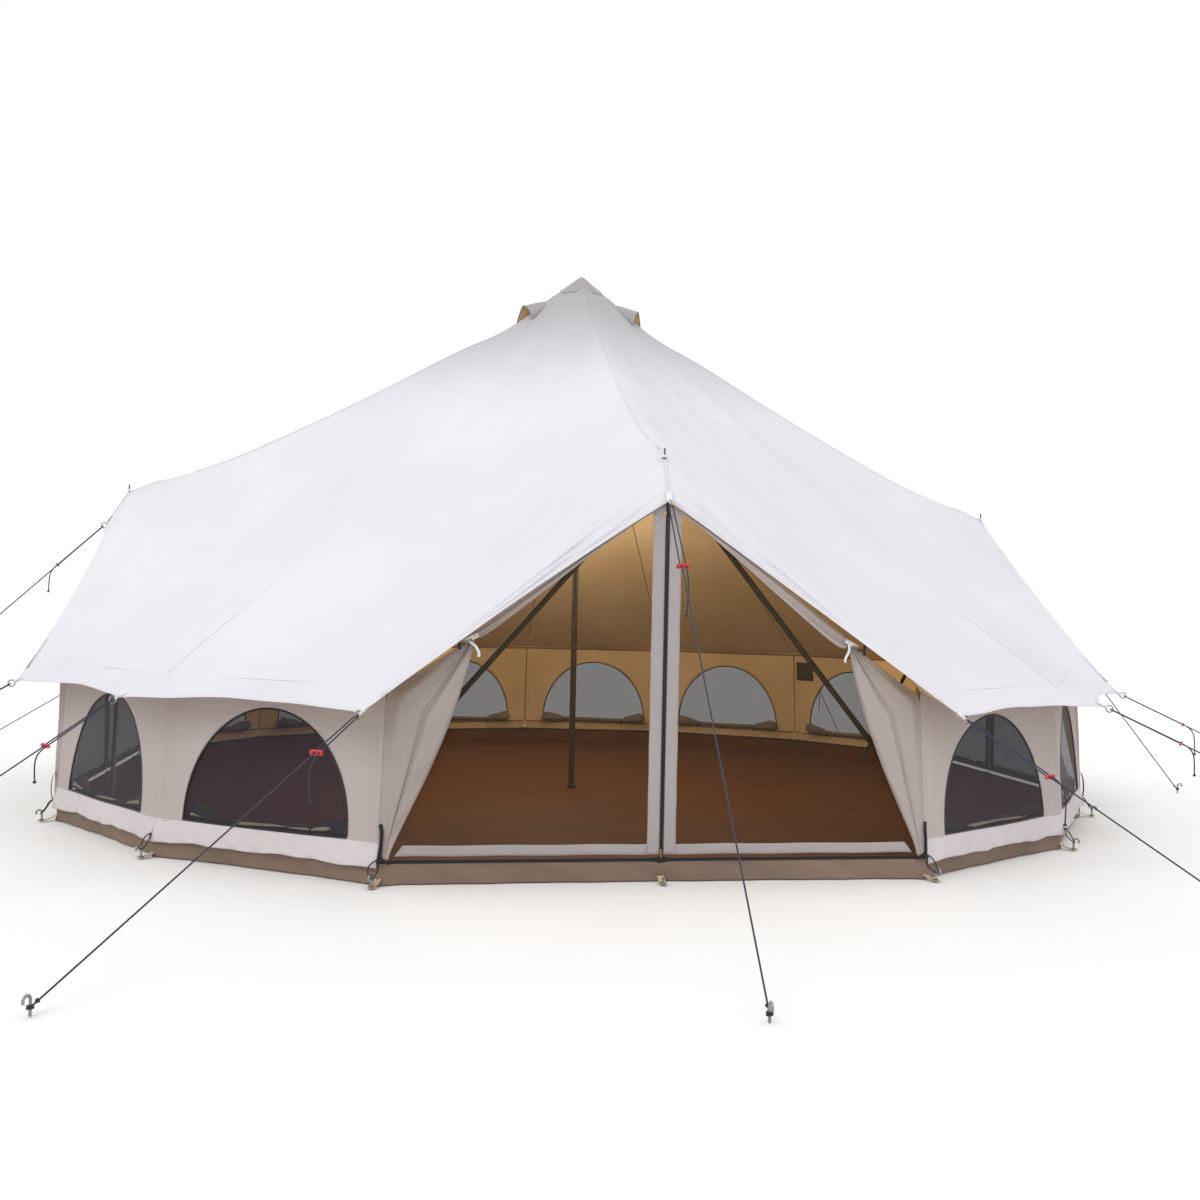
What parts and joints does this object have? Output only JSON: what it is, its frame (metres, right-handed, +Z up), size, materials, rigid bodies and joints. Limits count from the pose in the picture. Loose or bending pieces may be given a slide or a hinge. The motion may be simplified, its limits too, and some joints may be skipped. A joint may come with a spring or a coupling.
{
  "type": "bell tent",
  "caption": "Round canvas bell tent on a centre pole, with gabled mesh doors, arched mesh windows, a zipped-in groundsheet and pegged guy lines.",
  "frame": {"origin": "on the ground under the centre pole, in the underside of the groundsheet", "axes": "+Z up along the centre pole, -Y out through the front door, +X to the right as seen from inside looking back"},
  "size_m": [8.6246, 8.474, 3.199],
  "materials": {
    "canvas_roof": "heavy off-white cotton canvas, matt",
    "canvas_wall": "heavy off-white cotton canvas, matt",
    "canvas_trim": "doubled canvas with stitched edges",
    "mesh": "black insect mesh, see-through",
    "window_cover": "rolled canvas cover with a grey coating",
    "groundsheet": "coated woven groundsheet, slightly glossy floor",
    "zip_black": "black nylon zip",
    "steel_dark": "dark powder-coated steel tube",
    "steel_plain": "galvanised steel",
    "rubber_black": "moulded rubber",
    "rope_navy": "braided polyester guy rope, dark navy",
    "tensioner_red": "red anodised aluminium",
    "toggle_black": "black toggles",
    "zip_metal": "black nickel zip slider"
  },
  "bodies": {
    "tent": {"groundsheet": "groundsheet", "groundsheet_zip": "zip_black", "wall_panels": "canvas_wall", "window_screens": "mesh", "window_cover_rolls": "window_cover", "roof_canopy": "canvas_roof", "door_hoods": "canvas_roof", "peak_cap": "canvas_roof", "roof_vents": "canvas_roof", "centre_pole_sections": "steel_dark", "pole_feet": "rubber_black", "door_frame_legs": "steel_dark", "door_frame_elbows": "steel_dark", "door_mesh_gussets": "mesh", "door_tied_flaps": "canvas_wall", "door_flap_toggles": "toggle_black", "base_pegs": "steel_plain", "guy_rings": "steel_plain", "guy_pegs": "steel_plain", "guy_rope_front_lip": "rope_navy", "guy_rope_left_lip": "rope_navy", "guy_rope_right_lip": "rope_navy", "guy_rope_front_left_1": "rope_navy", "guy_rope_front_left_2": "rope_navy", "guy_rope_front_left_3": "rope_navy", "guy_rope_front_right_1": "rope_navy", "guy_rope_front_right_2": "rope_navy", "guy_rope_front_right_3": "rope_navy", "guy_rope_rear_left_1": "rope_navy", "guy_rope_rear_left_2": "rope_navy", "guy_rope_rear_left_3": "rope_navy", "guy_rope_rear_centre": "rope_navy", "guy_rope_rear_right_3": "rope_navy", "guy_rope_rear_right_2": "rope_navy", "guy_rope_rear_right_1": "rope_navy"},
    "front_leaf_left": {"mesh_leaf_front_l": "mesh"},
    "front_leaf_right": {"mesh_leaf_front_r": "mesh"},
    "front_zip": {"zip_slider_front": "zip_metal"},
    "right_leaf_left": {"mesh_leaf_right_l": "mesh"},
    "right_leaf_right": {"mesh_leaf_right_r": "mesh"},
    "right_zip": {"zip_slider_right": "zip_metal"},
    "left_leaf_left": {"mesh_leaf_left_l": "mesh"},
    "left_leaf_right": {"mesh_leaf_left_r": "mesh"},
    "left_zip": {"zip_slider_left": "zip_metal"},
    "tensioner_front_lip": {"guy_tensioner_front_lip": "tensioner_red"},
    "tensioner_left_lip": {"guy_tensioner_left_lip": "tensioner_red"},
    "tensioner_right_lip": {"guy_tensioner_right_lip": "tensioner_red"},
    "tensioner_front_left_1": {"guy_tensioner_front_left_1": "tensioner_red"},
    "tensioner_front_left_2": {"guy_tensioner_front_left_2": "tensioner_red"},
    "tensioner_front_left_3": {"guy_tensioner_front_left_3": "tensioner_red"},
    "tensioner_front_right_1": {"guy_tensioner_front_right_1": "tensioner_red"},
    "tensioner_front_right_2": {"guy_tensioner_front_right_2": "tensioner_red"},
    "tensioner_front_right_3": {"guy_tensioner_front_right_3": "tensioner_red"},
    "tensioner_rear_left_1": {"guy_tensioner_rear_left_1": "tensioner_red"},
    "tensioner_rear_left_2": {"guy_tensioner_rear_left_2": "tensioner_red"},
    "tensioner_rear_left_3": {"guy_tensioner_rear_left_3": "tensioner_red"},
    "tensioner_rear_centre": {"guy_tensioner_rear_centre": "tensioner_red"},
    "tensioner_rear_right_3": {"guy_tensioner_rear_right_3": "tensioner_red"},
    "tensioner_rear_right_2": {"guy_tensioner_rear_right_2": "tensioner_red"},
    "tensioner_rear_right_1": {"guy_tensioner_rear_right_1": "tensioner_red"}
  },
  "joints": [
    {"name": "front_mesh_left_fold", "type": "hinge", "parent": "tent", "child": "front_leaf_left", "pos_m": [-0.55, -2.77164, 0.82], "axis": [-0.6067, 0, -0.795], "range_deg": [0, 100]},
    {"name": "front_mesh_right_fold", "type": "hinge", "parent": "tent", "child": "front_leaf_right", "pos_m": [0.55, -2.77164, 0.82], "axis": [-0.6067, 0, 0.795], "range_deg": [0, 100]},
    {"name": "front_zip_slide", "type": "slide", "parent": "front_leaf_left", "child": "front_zip", "axis": [0, 0, 1], "range_m": [0, 1.33]},
    {"name": "right_mesh_left_fold", "type": "hinge", "parent": "tent", "child": "right_leaf_left", "pos_m": [2.77164, -0.55, 0.82], "axis": [0, -0.6067, -0.795], "range_deg": [0, 100]},
    {"name": "right_mesh_right_fold", "type": "hinge", "parent": "tent", "child": "right_leaf_right", "pos_m": [2.77164, 0.55, 0.82], "axis": [0, -0.6067, 0.795], "range_deg": [0, 100]},
    {"name": "right_zip_slide", "type": "slide", "parent": "right_leaf_left", "child": "right_zip", "axis": [0, 0, 1], "range_m": [0, 1.33]},
    {"name": "left_mesh_left_fold", "type": "hinge", "parent": "tent", "child": "left_leaf_left", "pos_m": [-2.77164, 0.55, 0.82], "axis": [0, 0.6067, -0.795], "range_deg": [0, 100]},
    {"name": "left_mesh_right_fold", "type": "hinge", "parent": "tent", "child": "left_leaf_right", "pos_m": [-2.77164, -0.55, 0.82], "axis": [0, 0.6067, 0.795], "range_deg": [0, 100]},
    {"name": "left_zip_slide", "type": "slide", "parent": "left_leaf_left", "child": "left_zip", "axis": [0, 0, 1], "range_m": [0, 1.33]},
    {"name": "tension_front_lip", "type": "slide", "parent": "tent", "child": "tensioner_front_lip", "axis": [0.0223, 0.7514, 0.6595], "range_m": [0, 0.2]},
    {"name": "tension_left_lip", "type": "slide", "parent": "tent", "child": "tensioner_left_lip", "axis": [0.7156, 0.0752, 0.6944], "range_m": [0, 0.2]},
    {"name": "tension_right_lip", "type": "slide", "parent": "tent", "child": "tensioner_right_lip", "axis": [-0.6012, 0.106, 0.7921], "range_m": [0, 0.2]},
    {"name": "tension_front_left_1", "type": "slide", "parent": "tent", "child": "tensioner_front_left_1", "axis": [0.4604, 0.7974, 0.3902], "range_m": [0, 0.2]},
    {"name": "tension_front_left_2", "type": "slide", "parent": "tent", "child": "tensioner_front_left_2", "axis": [0.6131, 0.6131, 0.4982], "range_m": [0, 0.2]},
    {"name": "tension_front_left_3", "type": "slide", "parent": "tent", "child": "tensioner_front_left_3", "axis": [0.7656, 0.4071, 0.4982], "range_m": [0, 0.2]},
    {"name": "tension_front_right_1", "type": "slide", "parent": "tent", "child": "tensioner_front_right_1", "axis": [-0.4167, 0.8005, 0.4309], "range_m": [0, 0.2]},
    {"name": "tension_front_right_2", "type": "slide", "parent": "tent", "child": "tensioner_front_right_2", "axis": [-0.7164, 0.5597, 0.4165], "range_m": [0, 0.2]},
    {"name": "tension_front_right_3", "type": "slide", "parent": "tent", "child": "tensioner_front_right_3", "axis": [-0.7663, 0.4788, 0.4284], "range_m": [0, 0.2]},
    {"name": "tension_rear_left_1", "type": "slide", "parent": "tent", "child": "tensioner_rear_left_1", "axis": [0.8121, -0.3364, 0.4768], "range_m": [0, 0.2]},
    {"name": "tension_rear_left_2", "type": "slide", "parent": "tent", "child": "tensioner_rear_left_2", "axis": [0.4681, -0.502, 0.7272], "range_m": [0, 0.19]},
    {"name": "tension_rear_left_3", "type": "slide", "parent": "tent", "child": "tensioner_rear_left_3", "axis": [0.2516, -0.6387, 0.7272], "range_m": [0, 0.195]},
    {"name": "tension_rear_centre", "type": "slide", "parent": "tent", "child": "tensioner_rear_centre", "axis": [-0.012, -0.6863, 0.7272], "range_m": [0, 0.19]},
    {"name": "tension_rear_right_3", "type": "slide", "parent": "tent", "child": "tensioner_rear_right_3", "axis": [-0.246, -0.6408, 0.7272], "range_m": [0, 0.185]},
    {"name": "tension_rear_right_2", "type": "slide", "parent": "tent", "child": "tensioner_rear_right_2", "axis": [-0.4938, -0.4768, 0.7272], "range_m": [0, 0.192]},
    {"name": "tension_rear_right_1", "type": "slide", "parent": "tent", "child": "tensioner_rear_right_1", "axis": [-0.6817, -0.3035, 0.6657], "range_m": [0, 0.198]}
  ]
}
